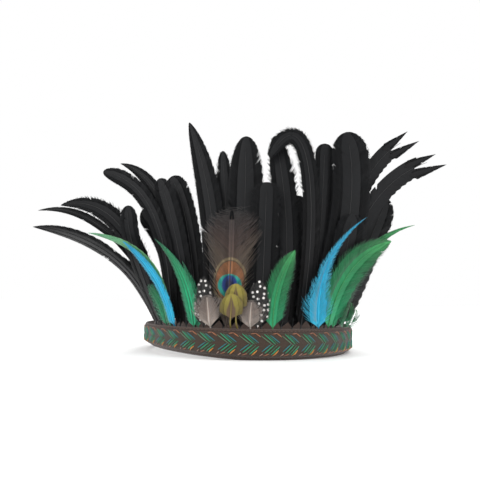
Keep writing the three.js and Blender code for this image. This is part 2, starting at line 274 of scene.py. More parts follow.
class Shader:
    """A material's nodes, with a short call for each kind that the finishes use."""

    def __init__(self, name: str) -> None:
        """Starts a material with a Principled shader and nothing linked to it."""
        self.material = bpy.data.materials.new(name)
        self.material.use_nodes = True
        self.tree = self.material.node_tree
        self.surface = self.tree.nodes["Principled BSDF"]

    def put(self, kind: str, inputs: dict[int | str, object], **settings: object) -> bpy.types.Node:
        """Adds a node.

        Args:
            kind: The node's type, without "ShaderNode".
            inputs: For each socket, a value or the socket that feeds it.
            **settings: The node's properties.

        Returns:
            The new node.
        """
        node = self.tree.nodes.new("ShaderNode" + kind)
        for key, value in settings.items():
            setattr(node, key, value)
        for key, value in inputs.items():
            self.feed(node.inputs[key], value)
        return node

    def feed(self, socket: Socket, value: object) -> None:
        """Links a socket to another one, or sets it to a value."""
        if isinstance(value, Socket):
            self.tree.links.new(value, socket)
        else:
            socket.default_value = value

    def read(self, attribute: str) -> list[Socket]:
        """Gives the three numbers of an attribute."""
        node = self.put("Attribute", {}, attribute_name=attribute)
        return list(self.put("SeparateXYZ", {0: node.outputs["Vector"]}).outputs)

    def math(self, operation: str, a: object, b: object = 0.0) -> Socket:
        """Gives the outcome of one sum."""
        return self.put("Math", {0: a, 1: b}, operation=operation).outputs[0]

    def times(self, a: object, b: object) -> Socket:
        """Multiplies."""
        return self.math("MULTIPLY", a, b)

    def plus(self, a: object, b: object) -> Socket:
        """Adds."""
        return self.math("ADD", a, b)

    def minus(self, a: object, b: object) -> Socket:
        """Takes b from a."""
        return self.math("SUBTRACT", a, b)

    def over(self, a: object, b: object) -> Socket:
        """Divides a by b."""
        return self.math("DIVIDE", a, b)

    def vector(self, x: object, y: object, z: object) -> Socket:
        """Joins three numbers."""
        return self.put("CombineXYZ", {0: x, 1: y, 2: z}).outputs[0]

    def noise(self, vector: object, detail: float = 2.0) -> Socket:
        """Gives soft noise at a place."""
        inputs = {"Vector": vector, "Scale": 1.0, "Detail": detail, "Roughness": 0.55}
        return self.put("TexNoise", inputs).outputs["Fac"]

    def fit(self, value: object, low: float, high: float, smooth: bool = True) -> Socket:
        """Maps a value from the range low to high onto 0 to 1."""
        kind = "SMOOTHSTEP" if smooth else "LINEAR"
        inputs = {"Value": value, "From Min": low, "From Max": high}
        return self.put("MapRange", inputs, interpolation_type=kind).outputs[0]

    def ramp(self, factor: object, stops: Stops) -> Socket:
        """Gives the colour at a place along a row of colours."""
        node = self.put("ValToRGB", {0: factor})
        elements = node.color_ramp.elements
        while len(elements) < len(stops):
            elements.new(1.0)
        for element, (position, code) in zip(elements, stops):
            element.position = position
            element.color = linear(code)
        return node.outputs[0]

    def mix(self, factor: object, a: object, b: object) -> Socket:
        """Mixes two colours, each of them a socket or a code."""
        node = self.tree.nodes.new("ShaderNodeMix")
        node.data_type = "RGBA"
        self.feed(node.inputs[0], factor)
        for socket, value in ((node.inputs[6], a), (node.inputs[7], b)):
            self.feed(socket, linear(value) if isinstance(value, str) else value)
        return node.outputs[2]

    def finish(
        self,
        colour: object,
        relief: object,
        depth: float,
        roughness: float,
        specular: float,
        sheen: float,
    ) -> bpy.types.Material:
        """Links colour and relief to the shader and sets its gloss.

        Args:
            colour: The surface's colour.
            relief: The relief's height, from 0 to 1.
            depth: The relief's depth, in metres.
            roughness: How rough the surface is.
            specular: How strongly it shines.
            sheen: How much soft fibre sheen it has.

        Returns:
            The finished material.
        """
        bump = self.put("Bump", {"Height": relief, "Distance": depth, "Strength": 0.8})
        self.feed(self.surface.inputs["Base Color"], colour)
        self.feed(self.surface.inputs["Normal"], bump.outputs[0])
        self.surface.inputs["Roughness"].default_value = roughness
        self.surface.inputs["Specular IOR Level"].default_value = specular
        self.surface.inputs["Sheen Weight"].default_value = sheen
        self.surface.inputs["Sheen Roughness"].default_value = 0.5
        return self.material


FINE_STREAKS, BROAD_STREAKS, BARB_CHANCE = 0.6, 0.4, 0.12
STREAK_RANGE = (0.3, 0.75)


@dataclass(frozen=True)
class Dye:
    """A dyed or natural feather finish: colours from foot to tip, streaked along the barbs, with a painted
    edge sheen at the vane's edges.
    """

    name: str
    slot: Slot
    stops: Stops
    # The colour at the vane's edges is a painted edge sheen, lighter than the vane on most dyes; on the deep
    # green it is a darker edge colour.
    edge: str
    sheen_edge_from: float = 0.75
    sheen_edge_share: float = 0.5
    streaks: float = 0.35
    roughness: float = 0.5
    specular: float = 0.35
    sheen: float = 0.1
    shaft: str = "#2a2522"

    def pattern(self, shader: Shader, base: Socket) -> Socket:
        """Lays a pattern over the base colour; a plain dye has none."""
        return base

    def material(self) -> bpy.types.Material:
        """Makes the material of the barbs and the closed vane."""
        shader = Shader(self.name)
        across, along, chance = shader.read("barb")
        _, _, feather = shader.read("place")
        away = shader.math("ABSOLUTE", across)
        base = shader.ramp(along, self.stops)
        # Painted edge sheen: towards the vane's edges the colour is mixed with the edge colour.
        rim = shader.times(shader.fit(away, self.sheen_edge_from, 1.0), self.sheen_edge_share)
        base = shader.mix(rim, base, self.edge)
        grain = shader.vector(
            shader.times(across, 1.3), shader.times(along, 90.0), feather
        )
        streak = shader.noise(grain, 3.0)
        lock = shader.vector(
            shader.times(across, 0.8), shader.times(along, 7.0), feather
        )
        fine = shader.times(streak, FINE_STREAKS)
        broad = shader.times(shader.noise(lock), BROAD_STREAKS)
        shade = shader.plus(shader.plus(fine, broad), shader.times(chance, BARB_CHANCE))
        tone = shader.fit(shade, *STREAK_RANGE, smooth=False)
        base = self.pattern(shader, base)
        dark = shader.mix(self.streaks, base, "#000000")
        colour = shader.mix(tone, dark, base)
        return shader.finish(colour, streak, 0.0002, self.roughness, self.specular, self.sheen)

    def shaft_material(self) -> bpy.types.Material:
        """Makes the material of the shaft."""
        shader = Shader(self.name + "_shaft")
        _, along, _ = shader.read("barb")
        grain = shader.noise(shader.vector(0.0, shader.times(along, 40.0), 0.0))
        colour = shader.mix(grain, self.shaft, self.stops[-1][1])
        return shader.finish(colour, grain, 0.0001, 0.4, 0.4, 0.0)


# The eye's egg shapes: how far each middle lies under the eye's, its half-width, its reach up and down,
# and its rings, each from where it starts to show to where it is full, as shares of the egg.
EYE = (
    (0.0, 12.0, 17.5, 14.0, ((1.06, 0.98, "#8f7d5c"), (0.95, 0.88, "#4a3b2c"), (0.90, 0.84, "#94603a"))),
    (1.5, 8.6, 7.6, 9.0, ((1.04, 0.95, "#1fa596"),)),
    (1.0, 5.3, 6.0, 6.5, ((1.15, 0.9, "#1b3a86"), (0.8, 0.3, "#141a4a"))),
)


@dataclass(frozen=True)
class EyeDye(Dye):
    """The peacock finish: an eye of navy, teal, copper and tan rings on bronze barbs."""

    centre: float = 31.5

    def pattern(self, shader: Shader, base: Socket) -> Socket:
        """Lays the eye's rings over the bronze."""
        across, along, _ = shader.read("place")

        def egg(middle: float, half: float, up: float, down: float) -> Socket:
            """Gives how far a place is from an egg's middle, as a share of its size."""
            rise = shader.minus(along, middle)
            above = shader.over(shader.math("MAXIMUM", rise, 0.0), up)
            below = shader.over(shader.math("MINIMUM", rise, 0.0), down)
            tall = shader.plus(above, below)
            wide = shader.over(across, half)
            square = shader.plus(shader.math("POWER", shader.math("ABSOLUTE", wide), 2.0),
                                 shader.math("POWER", shader.math("ABSOLUTE", tall), 2.0))
            return shader.math("SQRT", square)

        colour = base
        for drop, half, up, down, rings in EYE:
            shape = egg(self.centre - drop, half, up, down)
            for outside, inside, code in rings:
                colour = shader.mix(shader.fit(shape, outside, inside), colour, code)
        return colour


@dataclass(frozen=True)
class WedgeDye(Dye):
    """The gold finish: a brown wedge along the shaft and a tan rim."""

    def pattern(self, shader: Shader, base: Socket) -> Socket:
        """Lays the wedge and the rim over the gold."""
        across, along, _ = shader.read("barb")
        away = shader.math("ABSOLUTE", across)
        room = shader.times(shader.minus(1.0, along), 0.45)
        wedge = shader.fit(shader.minus(away, room), 0.05, -0.05)
        colour = shader.mix(wedge, base, "#5a4630")
        return shader.mix(shader.fit(away, 0.93, 0.99), colour, "#5c4a30")


@dataclass(frozen=True)
class DotDye(Dye):
    """The spotted finish: white dots on near-black."""

    dots_per_mm: float = 0.25

    def pattern(self, shader: Shader, base: Socket) -> Socket:
        """Lays the dots over the dark ground."""
        across, along, feather = shader.read("place")
        spot = shader.put(
            "TexVoronoi",
            {
                "Vector": shader.vector(shader.plus(across, feather), along, 0.0),
                "Scale": self.dots_per_mm,
                "Randomness": 0.45,
            },
            voronoi_dimensions="2D",
        )
        return shader.mix(shader.fit(spot.outputs["Distance"], 0.25, 0.19), base, "#efebe7")


BLACK = Dye(
    "black_plume", Slot.BLACK, ((0.0, "#0e0d0e"), (0.4, "#0f1012"), (1.0, "#121315")), "#1b1c1f",
    streaks=0.35, roughness=0.5, specular=0.16, sheen=0.0, shaft="#121112",
)
PEACOCK = EyeDye(
    "peacock_barbs", Slot.PEACOCK,
    ((0.0, "#4a3d33"), (0.4, "#5a4b3d"), (0.65, "#48362f"), (0.85, "#2c211f"), (1.0, "#171414")), "#2e2321",
    streaks=0.6, shaft="#4a3a30",
)
GOLD = WedgeDye(
    "gold_barbs", Slot.GOLD, ((0.0, "#655a26"), (0.5, "#80752b"), (1.0, "#8f8436")), "#75622c", streaks=0.35,
    shaft="#4a3526",
)
SPOTTED = DotDye(
    "spotted_barbs", Slot.SPOTTED, ((0.0, "#2a2522"), (0.3, "#151311"), (1.0, "#121110")), "#2a2725",
    streaks=0.2,
)
TAUPE = Dye(
    "taupe_down", Slot.TAUPE, ((0.0, "#a0938a"), (0.5, "#8c7d74"), (1.0, "#6a5f58")), "#a89d94",
    streaks=0.4, roughness=0.8, specular=0.2, sheen=0.3, shaft="#d8cfc6",
)
LIGHT_GREEN = Dye(
    "light_green_barbs", Slot.GREEN, ((0.0, "#2f7d55"), (0.4, "#4f9a60"), (1.0, "#6fa882")), "#8cbf8a",
    streaks=0.35, shaft="#2f6a44",
)
EMERALD = Dye(
    "emerald_barbs", Slot.GREEN, ((0.0, "#16b07c"), (0.45, "#13a06a"), (0.8, "#2a8a5c"), (1.0, "#23694a")),
    "#2fbf8c", streaks=0.5, roughness=0.65, sheen=0.2, shaft="#0c5a3a",
)
DEEP_GREEN = Dye(
    "deep_green_barbs", Slot.GREEN, ((0.0, "#1f9a66"), (0.3, "#12844f"), (0.65, "#1a7a44"), (1.0, "#3f9a57")),
    "#16402a", streaks=0.5, roughness=0.6, shaft="#0c4a2c",
)
BLUE = Dye(
    "blue_barbs", Slot.BLUE, ((0.0, "#14bfe6"), (0.5, "#12b5dc"), (1.0, "#1a9fc8")), "#35c6ea", streaks=0.4,
    roughness=0.65, sheen=0.25, shaft="#0a7fa6",
)


@dataclass(frozen=True)
class Cloth:
    """A woven tape finish."""

    name: str
    colour: str
    dark: str
    thread: float = 0.55

    def material(self) -> bpy.types.Material:
        """Makes the tape's material: a plain weave with uneven thread colour."""
        shader = Shader(self.name)
        along, up, _ = shader.read("place")
        turn = 2 * math.pi / self.thread
        warp = shader.math("SINE", shader.times(along, turn))
        weft = shader.math("SINE", shader.times(up, turn))
        weave = shader.fit(shader.times(warp, weft), -1.0, 1.0, smooth=False)
        blotch = shader.noise(shader.vector(shader.times(along, 0.35), up, 0.0), 3.0)
        fleck = shader.noise(
            shader.vector(shader.times(along, 1.4), shader.times(up, 2.6), 4.0)
        )
        tone = shader.plus(shader.times(weave, 0.35), shader.times(blotch, 0.4))
        tone = shader.plus(tone, shader.times(fleck, 0.3))
        colour = shader.mix(shader.fit(tone, 0.25, 0.85, smooth=False), self.dark, self.colour)
        return shader.finish(colour, tone, 0.0003, 0.85, 0.2, 0.25)


@dataclass(frozen=True)
class Thread:
    """A plain twisted thread finish."""

    name: str
    colour: str

    def material(self) -> bpy.types.Material:
        """Makes the thread's material, with fine twist lines."""
        shader = Shader(self.name)
        along, around, _ = shader.read("place")
        twist = shader.math("SINE", shader.plus(shader.times(along, 9.0), around))
        tone = shader.fit(twist, -1.0, 1.0, smooth=False)
        colour = shader.mix(tone, shader.mix(0.45, self.colour, "#000000"), self.colour)
        return shader.finish(colour, tone, 0.0002, 0.6, 0.3, 0.2)


TAPE = Cloth("brown_tape", "#56453d", "#2e2521")
BRAID_GROUND = Cloth("braid_ground", "#4c3d34", "#282019", thread=0.7)
STITCH_LENGTH, STITCH_RISE, STITCH_RADIUS = 2.3, 0.32, 0.24
LEAF_LENGTH = 15.5
STITCH = Thread("brown_stitch", "#5f4c42")


# ---------------------------------------------------------------- the fan


@dataclass(frozen=True)
class FanRow:
    """How far the fan reaches to the left, right and front of the head at one height."""

    height: float
    left: float
    right: float
    front: float


POCKET_MIDDLE = 3.8
HALF_WIDTH = 77.5
HALF_DEPTH = 97.5
FOOT_WIDTH = HALF_WIDTH + POCKET_MIDDLE
FOOT_DEPTH = HALF_DEPTH + POCKET_MIDDLE
FAN_ROWS = (
    FanRow(0, FOOT_WIDTH, FOOT_WIDTH, FOOT_DEPTH),
    FanRow(20, 97, 102, 99),
    FanRow(40, 116, 122, 96.5),
    FanRow(60, 151, 141, 93.5),
    FanRow(75, 192, 156, 91),
    FanRow(95, 206, 173, 87.5),
    FanRow(130, 212, 192, 80.5),
    FanRow(160, 214, 200, 74),
)


@dataclass(frozen=True)
class Fan:
    """The surface that the feathers are laid on, and the layers that they lie in."""

    middle: Vector
    top: float
    rows: tuple[FanRow, ...] = FAN_ROWS
    middle_layer: int = 5
    row_gap: float = 1.4
    gap_low: float = 1.6
    gap_high: float = 3.0
    turn_from: float = 0.8
    turn_ease: float = 0.15

    def reach(self, column: str, height: Array) -> Array:
        """Gives a column of the fan's rows at any height, on a smooth curve through them.

        Args:
            column: "left", "right" or "front".
            height: Heights over the band's top edge.

        Returns:
            How far the fan reaches at those heights.
        """
        heights = np.array([row.height for row in self.rows], float)
        values = np.array([getattr(row, column) for row in self.rows], float)
        last = len(values) - 1
        before = np.maximum(np.arange(last + 1) - 1, 0)
        after = np.minimum(np.arange(last + 1) + 1, last)
        slopes = (values[after] - values[before]) / (heights[after] - heights[before])
        h = np.clip(height, heights[0], heights[-1])
        k = np.searchsorted(heights[1:last], h, side="left")
        span = heights[k + 1] - heights[k]
        t = (h - heights[k]) / span
        return (
            values[k] * (1 + 2 * t) * (1 - t) ** 2
            + slopes[k] * span * t * (1 - t) ** 2
            + values[k + 1] * t * t * (3 - 2 * t)
            + slopes[k + 1] * span * t * t * (t - 1)
        )

    def side(self, x: Array, height: Array) -> Array:
        """Gives how far the fan reaches on the side that each place is on."""
        return np.where(x < 0, self.reach("left", height), self.reach("right", height))

    def drawn_in(self, x: Array, height: Array) -> Array:
        """Draws places near the fan's sides in, so that it never turns straight back there."""
        side = self.side(x, height)
        share = np.abs(x) / side
        beyond = np.maximum(share - self.turn_from, 0)
        eased = np.minimum(share, self.turn_from) + self.turn_ease * (1 - np.exp(-beyond / self.turn_ease))
        return np.sign(x) * eased * side

    def depth(self, x: Array, height: Array) -> Array:
        """Gives how far the fan stands forward of the head's middle, as a negative y."""
        side = self.side(x, height)
        room = np.maximum(1 - (x / side) ** 2, 0.02)
        return -self.reach("front", height) * np.sqrt(room)

    def slopes(self, x: Array, height: Array) -> tuple[Array, Array]:
        """Gives how steeply the fan turns back, across and upwards."""
        step = 0.5
        across = (self.depth(x + step, height) - self.depth(x - step, height)) / (2 * step)
        up = (self.depth(x, height + step) - self.depth(x, height - step)) / (2 * step)
        return across, up

    def place(self, x: Array, height: Array, outward: Array) -> Array:
        """Lays points on the fan.

        Args:
            x: Places across.
            height: Heights over the band's top edge.
            outward: How far each stands out of the fan.

        Returns:
            One row of three for each point, in metres.
        """
        near = self.drawn_in(x, height)
        across, up = self.slopes(near, height)
        y = self.depth(near, height) - outward * np.sqrt(1 + across**2 + up**2)
        return np.stack(
            [x * MM + self.middle.x, y * MM + self.middle.y, height * MM + self.top], axis=-1
        )

    def layer_outward(self, layer: float, height: Array) -> Array:
        """Gives how far a layer lies in front of the fan. In the pocket the layers share three rows."""
        row = min(layer // 3, 2)
        in_pocket = (row - 1) * self.row_gap
        gap = blend(self.gap_low, self.gap_high, smoothstep(height / 100))
        return blend(in_pocket, (layer - self.middle_layer) * gap, smoothstep(height / 5))


# ---------------------------------------------------------------- feathers


@dataclass(frozen=True)
class TipCurve:
    """How a vane's half-width runs from its foot (0) to its tip (1)."""

    foot: float
    rise: float
    fall: float
    power: float
    round: float

    def width(self, share: Array) -> Array:
        """Gives the share of the full width at places along the vane."""
        opening = blend(self.foot, 1.0, np.sin(np.pi / 2 * np.clip(share / self.rise, 0, 1)))
        closing = np.clip((share - self.fall) / (1 - self.fall), 0, 1)
        return opening * np.maximum(1 - closing**self.power, 0) ** (1 / self.round)


class Tip(Enum):
    """The outlines that a vane can have."""

    ROUND = TipCurve(0.8, 0.4, 0.84, 2, 2)
    DOME = TipCurve(0.8, 0.4, 0.7, 2.2, 2)
    BLUNT = TipCurve(0.8, 0.4, 0.93, 2.5, 2)
    DOWN = TipCurve(0.85, 0.3, 0.4, 2, 1.6)
    LANCE = TipCurve(0.8, 0.4, 0.5, 2.3, 1.4)
    BLADE = TipCurve(0.8, 0.35, 0.52, 2, 1.2)
    SICKLE = TipCurve(0.5, 0.3, 0.35, 1.3, 1)
    HACKLE = TipCurve(0.6, 0.18, 0.3, 1.2, 1)
    WISP = TipCurve(0.8, 0.15, 0.2, 0.42, 1)
    PUFF = TipCurve(0.5, 0.35, 0.45, 2, 1.8)
    FAN = TipCurve(0.2, 0.85, 0.8, 2.4, 2)
    PRONG = TipCurve(1.0, 0.01, 0.1, 1.2, 1)


@dataclass(frozen=True)
class Barbing:
    """How a feather's barbs lie: how far they close into a web, and how they fray beyond it."""

    web: float = 0.93
    web_end: float = 1.0
    pitch: float = 0.8
    starts: float = 0.45
    slant: float = 1.1
    reach: tuple[float, float] = (0.95, 1.03)
    stray: float = 0.15
    half_width: float = 0.34
    lift: float = 0.25
    splits: int = 2


class Coat(Enum):
    """The ways that the barbs of a feather hold together."""

    NEAT = Barbing()
    FRAYED = Barbing(web=0.85, reach=(0.85, 1.12), stray=0.6, splits=5)
    HERLS = Barbing(web=0.66, web_end=0.9, pitch=0.4, starts=0.1, slant=2.4, reach=(0.7, 1.12), stray=1.6,
                    half_width=0.24, lift=0.7, splits=0)
    FLUFF = Barbing(web=0.6, web_end=0.95, pitch=0.35, starts=0.1, slant=1.0, reach=(0.85, 1.35), stray=1.3,
                    half_width=0.16, lift=1.3, splits=0)
    SOFT = Barbing(web=0.8, pitch=0.5, starts=0.3, slant=1.2, reach=(0.9, 1.12), stray=0.5, half_width=0.22,
                   lift=0.5, splits=4)
    PETAL = Barbing(web=0.97, pitch=0.5, starts=0.6, slant=1.0, reach=(0.97, 1.02), stray=0.1, splits=1)


@dataclass(frozen=True)
class Feather:
    """One feather: where its quill stands on the band, its shaft's bend and tip, and its vane."""

    name: str
    angle: float
    bend: tuple[float, float]
    tip: tuple[float, float]
    width: float
    shape: Tip
    layer: int
    dye: Dye = BLACK
    coat: Coat = Coat.NEAT
    crest: tuple[float, float] | None = None
    fork: tuple[tuple[float, float], ...] = ()
    bare: float = 0.8
    tufts: tuple[tuple[float, float], ...] = ()


def plume(number: int, angle: float, bend: tuple[float, float], tip: tuple[float, float], width: float,
          shape: Tip, layer: int, **extra: object) -> Feather:
    """Describes a black plume by its number and its row of sizes."""
    return Feather(f"black_plume_{number:02d}", angle, bend, tip, width, shape, layer, **extra)


PLUMES = (
    plume(1, -55, (-77, 36), (-104, 55), 15, Tip.BLADE, 2, coat=Coat.FRAYED),
    plume(2, -51, (-90, 70), (-181, 78), 13, Tip.BLADE, 4),
    plume(3, -48.5, (-79, 104), (-150, 94), 18, Tip.BLADE, 3, coat=Coat.FRAYED),
    plume(4, -47, (-92, 97), (-181, 93), 7.5, Tip.BLADE, 1),
    plume(5, -44, (-82, 51), (-84, 90), 16, Tip.ROUND, 5),
    plume(6, -35, (-47, 105), (-108, 118), 13, Tip.ROUND, 5),
    plume(7, -32, (-46, 66), (-77, 88), 19, Tip.ROUND, 0),
    plume(8, -29, (-46, 112), (-97, 126), 12, Tip.BLADE, 2),
    plume(9, -24.5, (-39, 65), (-61, 111), 17, Tip.ROUND, 4),
    plume(10, -19, (-34, 83), (-54, 114), 19, Tip.ROUND, 1),
    plume(11, -9.5, (-10, 85), (-41, 157), 19, Tip.LANCE, 3),
    plume(12, -4, (-5, 50), (-9, 101), 27, Tip.ROUND, 0),
    plume(13, 0, (-7, 70), (-14, 134), 15, Tip.DOME, 1, coat=Coat.FRAYED),
    plume(14, 4.5, (7, 72), (4, 145), 28, Tip.DOME, 2),
    plume(15, 15, (22, 55), (22, 107), 22, Tip.BLUNT, 4, coat=Coat.FRAYED),
    plume(16, 25, (43, 72), (26, 146), 21, Tip.DOME, 1, coat=Coat.FRAYED),
    plume(17, 31, (45, 50), (43, 99), 23, Tip.ROUND, 0),
    plume(18, 36, (64, 100), (23, 127), 14, Tip.ROUND, 3, crest=(50, 182), coat=Coat.FRAYED),
    plume(19, 42.5, (63, 72), (64, 139), 14.5, Tip.BLUNT, 2),
    plume(20, 45.5, (68, 60), (73, 118), 20, Tip.ROUND, 0),
    plume(21, 48, (94, 88), (80, 147), 29, Tip.ROUND, 4),
    plume(22, 52, (80, 123), (128, 146), 14, Tip.ROUND, 1, fork=((127, 152), (136, 145))),
    plume(23, 55.5, (78, 40), (85, 84), 22, Tip.ROUND, 5),
    plume(24, 58.5, (84, 111), (150, 130), 15, Tip.ROUND, 3, fork=((148, 134), (157, 127))),
    plume(25, 63, (88, 43), (111, 99), 23, Tip.ROUND, 0),
)
ACCENTS = (
    Feather("peacock_eye_feather", -2.2, (0, 43), (-2, 86), 40, Tip.FAN, 6, PEACOCK, Coat.HERLS),
    Feather("gold_feather_upper", 3.6, (4, 15), (4, 31.5), 16.5, Tip.PUFF, 9, GOLD, Coat.PETAL, bare=12),
    Feather("gold_feather_lower", 0.3, (2, 12), (1, 24.5), 17, Tip.PUFF, 10, GOLD, Coat.PETAL, bare=7),
    Feather("spotted_feather_left", -13.6, (-20, 18), (-20, 36), 15, Tip.DOWN, 7, SPOTTED, Coat.SOFT),
    Feather("spotted_feather_right", 13, (19, 16), (20, 34), 18, Tip.DOWN, 7, SPOTTED, Coat.SOFT),
    Feather("taupe_down_left", -10, (-15.5, 12), (-17, 23), 24, Tip.DOWN, 8, TAUPE, Coat.FLUFF),
    Feather("taupe_down_right", 10, (14, 10), (15, 20), 19, Tip.DOWN, 8, TAUPE, Coat.FLUFF),
    Feather("green_hackle_1", -35.4, (-49, 60), (-115, 69), 6, Tip.BLADE, 8, LIGHT_GREEN, Coat.NEAT),
    Feather("green_hackle_2", -19.4, (-32, 42), (-60, 64), 11, Tip.HACKLE, 6, EMERALD, Coat.SOFT),
    Feather("green_hackle_3", -17, (-27, 28), (-38, 47), 9, Tip.HACKLE, 5, EMERALD, Coat.FLUFF),
    Feather("green_hackle_4", 21, (29, 32), (44, 56), 17, Tip.BLADE, 6, DEEP_GREEN, Coat.SOFT),
    Feather("green_hackle_5", 55.5, (76, 51), (113, 65), 23, Tip.BLADE, 7, DEEP_GREEN, Coat.SOFT,
            tufts=((88, 14), (84, 19))),
    Feather("green_hackle_6", 60, (84, 66), (131, 78), 8, Tip.SICKLE, 6, DEEP_GREEN, Coat.NEAT),
    Feather("green_down_left", -38.5, (-52, 18), (-66, 29), 12, Tip.PUFF, 7, EMERALD, Coat.FLUFF),
    Feather("blue_hackle_left", -32, (-50, 36), (-84, 62), 7.5, Tip.BLADE, 9, BLUE, Coat.SOFT),
    Feather("blue_hackle_right", 48, (57, 54), (95, 81), 19, Tip.WISP, 8, BLUE, Coat.FLUFF),
)


class Vane:
    """A feather's shaft and vane laid on the fan: it turns places along and across into points."""

    quill_foot = -10.5

    def __init__(self, fan: Fan, controls: list[tuple[float, float]], width: float, shape: TipCurve,
                 layer: float, bare: float = 0.0, start: float | None = None) -> None:
        """Keeps the shaft's curve and measures it.

        Args:
            fan: The fan to lie on.
            controls: The points that shape the shaft's curve, from its root to its tip.
            width: The vane's full width.
            shape: The vane's outline.
            layer: The layer that it lies in.
            bare: The height at which the vane starts on the quill.
            start: Where on the curve the vane starts; where its height is right, if not given.
        """
        self.fan = fan
        self.controls = np.array(controls, float)
        self.half = width / 2
        self.shape = shape
        self.layer = layer
        steps = np.linspace(0, 1, 401)
        points = self.curve(steps)
        self.start = float(steps[np.argmax(points[:, 1] >= bare)]) if start is None else start
        travelled = np.concatenate([[0], np.cumsum(np.linalg.norm(np.diff(points, axis=0), axis=1))])
        self.length = float(travelled[-1] - np.interp(self.start, steps, travelled))
        self.travel = (steps, travelled - np.interp(self.start, steps, travelled))

    def curve(self, t: Array) -> Array:
        """Gives points of the shaft's curve, seen from the front."""
        order = len(self.controls) - 1
        terms = [math.comb(order, i) * t**i * (1 - t) ** (order - i) for i in range(order + 1)]
        return np.stack(terms, axis=-1) @ self.controls

    def direction(self, t: Array) -> Array:
        """Gives the shaft's direction at places on its curve."""
        step = 1e-4
        return unit(self.curve(np.minimum(t + step, 1)) - self.curve(np.maximum(t - step, 0)))

    def along(self, share: Array) -> Array:
        """Gives the distance along the shaft from the vane's foot."""
        return np.interp(self.start + (1 - self.start) * share, *self.travel)

    def width_at(self, share: Array) -> Array:
        """Gives the half-width of the vane at shares of its length."""
        return self.half * self.shape.width(np.clip(share, 0, 1))

    def barb_place(
        self, share: Array, across: Array, slant: float
    ) -> tuple[Array, Array]:
        """Follows barbs, which run out and forward from the shaft to the outline.

        Args:
            share: Where each barb leaves the shaft.
            across: How far out along the barb, from -1 to 1, where 1 is on the right outline.
            slant: How far a barb runs forward for each millimetre across.

        Returns:
            The share of the vane's length and the distance across that are reached.
        """
        advance = np.minimum(slant * self.half * self.shape.width(share) / self.length, 0.6 * (1 - share))
        reached = share + advance * np.abs(across)
        return reached, across * self.width_at(reached)

    def lay(self, share: Array, across: Array, lift: Array) -> Array:
        """Lays places of the vane on the fan.

        Args:
            share: Shares of the vane's length.
            across: Distances from the shaft, to the right.
            lift: Distances out of the vane.

        Returns:
            The points, in metres.
        """
        t = self.start + (1 - self.start) * share
        heading = self.direction(t)
        flat = self.curve(t) + np.stack([heading[..., 1], -heading[..., 0]], -1) * across[..., None]
        outward = self.fan.layer_outward(self.layer, flat[..., 1]) + lift
        return self.fan.place(flat[..., 0], flat[..., 1], outward)


